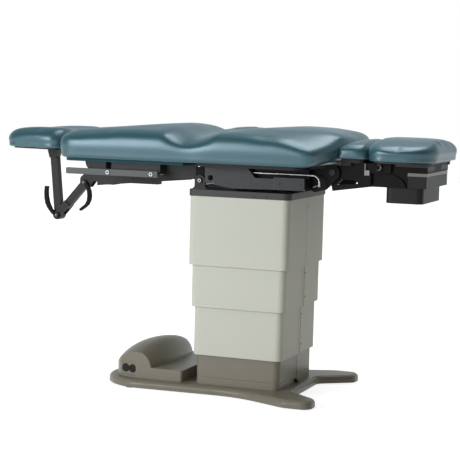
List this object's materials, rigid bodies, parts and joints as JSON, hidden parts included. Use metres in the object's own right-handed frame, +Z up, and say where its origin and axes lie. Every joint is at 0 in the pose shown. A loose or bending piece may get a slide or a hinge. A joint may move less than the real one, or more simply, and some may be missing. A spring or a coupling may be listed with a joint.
{
  "type": "procedure chair",
  "caption": "Powered procedure chair: back, seat and foot sections on a telescoping column, with a jointed headrest, drop-down rails, a pan drawer and stirrups.",
  "frame": {"origin": "on the floor, under the centre of the lifting column", "axes": "+X towards the foot end, +Y across the chair away from the outlets' side, +Z up"},
  "size_m": [1.833, 0.7, 1.071],
  "materials": {
    "upholstery": "soft satin vinyl",
    "shroud_plastic": "satin cream plastic",
    "base_plastic": "satin warm grey plastic",
    "base_paint": "satin warm grey paint",
    "plate_paint": "satin dark grey paint",
    "black_steel": "black powder coat",
    "grey_steel": "grey powder coat",
    "tube_steel": "plain ground steel",
    "rail_steel": "brushed steel",
    "bright_steel": "bright plated",
    "stainless": "stainless sheet",
    "board": "dark painted ply",
    "black_plastic": "black moulded plastic",
    "grey_plastic": "dark grey moulded plastic",
    "rubber": "black rubber"
  },
  "bodies": {
    "base": {"base_plate": "base_paint", "base_glides": "rubber", "base_shroud": "base_plastic", "skirt_latch": "black_plastic", "base_housing": "base_plastic", "outlet_plate": "base_plastic", "power_outlets": "black_plastic", "guide_tube_outer": "tube_steel", "lift_cylinder": "tube_steel"},
    "column_mid": {"guide_tube_middle": "tube_steel", "lift_sleeve": "tube_steel"},
    "lower_shroud": {"lower_shroud": "shroud_plastic"},
    "middle_shroud": {"middle_shroud": "shroud_plastic"},
    "lift": {"upper_shroud": "shroud_plastic", "top_plate": "plate_paint", "guide_tube_inner": "tube_steel", "lift_ram": "tube_steel", "tilt_lugs": "black_steel", "tilt_bolts": "bright_steel"},
    "seat": {"seat_frame": "black_steel", "seat_side_plates": "grey_steel", "seat_end_covers": "grey_steel", "chrome_rods": "bright_steel", "seat_board": "board", "seat_cushion": "upholstery", "foot_hinge_plates": "black_steel", "foot_hinge_pins": "bright_steel"},
    "back": {"back_board": "board", "back_cushion": "upholstery", "back_frame": "grey_steel", "back_side_panels": "black_steel", "back_hinge_pins": "bright_steel", "head_guide": "black_steel", "rail_standoffs": "black_steel"},
    "rail_near": {"rail_near": "rail_steel", "rail_near_bolts": "bright_steel"},
    "rail_far": {"rail_far": "rail_steel", "rail_far_bolts": "bright_steel"},
    "head_bar": {"head_bar": "black_steel", "knuckle_pin": "bright_steel"},
    "knuckle_lever": {"knuckle_lever": "black_steel"},
    "head_link": {"head_link": "black_steel", "elbow_pin": "bright_steel"},
    "elbow_lever": {"elbow_lever": "black_steel"},
    "head_arm": {"head_arm": "black_steel", "head_board": "board", "head_cushion": "upholstery"},
    "foot": {"foot_frame": "black_steel", "foot_housing": "black_steel", "calf_board": "board", "calf_cushion": "upholstery", "extension_latches": "bright_steel"},
    "foot_ext": {"foot_board": "grey_steel", "foot_cushion": "upholstery"},
    "pan": {"pan_drawer": "grey_plastic", "pan_tray": "stainless"},
    "stirrup_near": {"stirrup_near": "black_steel", "heel_cup_near": "stainless"},
    "stirrup_far": {"stirrup_far": "black_steel", "heel_cup_far": "stainless"}
  },
  "joints": [
    {"name": "column_lift", "type": "slide", "parent": "base", "child": "lift", "axis": [0, 0, 1], "range_m": [-0.442, 0]},
    {"name": "guide_tube_slide", "type": "slide", "parent": "base", "child": "column_mid", "axis": [0, 0, 1], "range_m": [-0.222, 0]},
    {"name": "lower_shroud_slide", "type": "slide", "parent": "base", "child": "lower_shroud", "axis": [0, 0, 1], "range_m": [-0.10039, 0]},
    {"name": "middle_shroud_slide", "type": "slide", "parent": "base", "child": "middle_shroud", "axis": [0, 0, 1], "range_m": [-0.29045, 0]},
    {"name": "table_tilt", "type": "hinge", "parent": "lift", "child": "seat", "pos_m": [-0.164, 0, 0.853], "axis": [0, -1, 0], "range_deg": [0, 12]},
    {"name": "back_raise", "type": "hinge", "parent": "seat", "child": "back", "pos_m": [-0.173, 0, 0.912], "axis": [0, 1, 0], "range_deg": [0, 75]},
    {"name": "foot_lower", "type": "hinge", "parent": "seat", "child": "foot", "pos_m": [0.37, 0, 0.906], "axis": [0, 1, 0], "range_deg": [0, 90]},
    {"name": "foot_extend", "type": "slide", "parent": "foot", "child": "foot_ext", "axis": [1, 0, 0], "range_m": [0, 0.12]},
    {"name": "pan_slide", "type": "slide", "parent": "foot", "child": "pan", "axis": [1, 0, 0], "range_m": [0, 0.15]},
    {"name": "stirrup_near_slide", "type": "slide", "parent": "foot", "child": "stirrup_near", "axis": [1, 0, 0], "range_m": [0, 0.2]},
    {"name": "stirrup_far_slide", "type": "slide", "parent": "foot", "child": "stirrup_far", "axis": [1, 0, 0], "range_m": [0, 0.2]},
    {"name": "rail_near_drop", "type": "hinge", "parent": "back", "child": "rail_near", "pos_m": [-0.35, -0.289, 0.871], "axis": [0, -1, 0], "range_deg": [0, 105]},
    {"name": "rail_far_drop", "type": "hinge", "parent": "back", "child": "rail_far", "pos_m": [-0.35, 0.289, 0.871], "axis": [0, -1, 0], "range_deg": [0, 105]},
    {"name": "head_bar_slide", "type": "slide", "parent": "back", "child": "head_bar", "axis": [-1, 0, 0], "range_m": [0, 0.12]},
    {"name": "head_knuckle", "type": "hinge", "parent": "head_bar", "child": "head_link", "pos_m": [-0.78, 0, 0.806], "axis": [0, 1, 0], "range_deg": [-40, 6]},
    {"name": "head_elbow", "type": "hinge", "parent": "head_link", "child": "head_arm", "pos_m": [-0.907, 0, 0.661], "axis": [0, 1, 0], "range_deg": [-45, 3]},
    {"name": "knuckle_lever_squeeze", "type": "hinge", "parent": "head_bar", "child": "knuckle_lever", "pos_m": [-0.78, -0.025, 0.806], "axis": [0, 1, 0], "range_deg": [0, 7], "stiffness_Nm_per_rad": 2},
    {"name": "elbow_lever_squeeze", "type": "hinge", "parent": "head_link", "child": "elbow_lever", "pos_m": [-0.907, -0.027, 0.661], "axis": [0, 1, 0], "range_deg": [0, 7], "stiffness_Nm_per_rad": 2}
  ],
  "couplings": [
    {"joint": "guide_tube_slide", "follows": "column_lift", "ratio": 0.5},
    {"joint": "lower_shroud_slide", "follows": "column_lift", "ratio": 0.226},
    {"joint": "middle_shroud_slide", "follows": "column_lift", "ratio": 0.656}
  ]
}
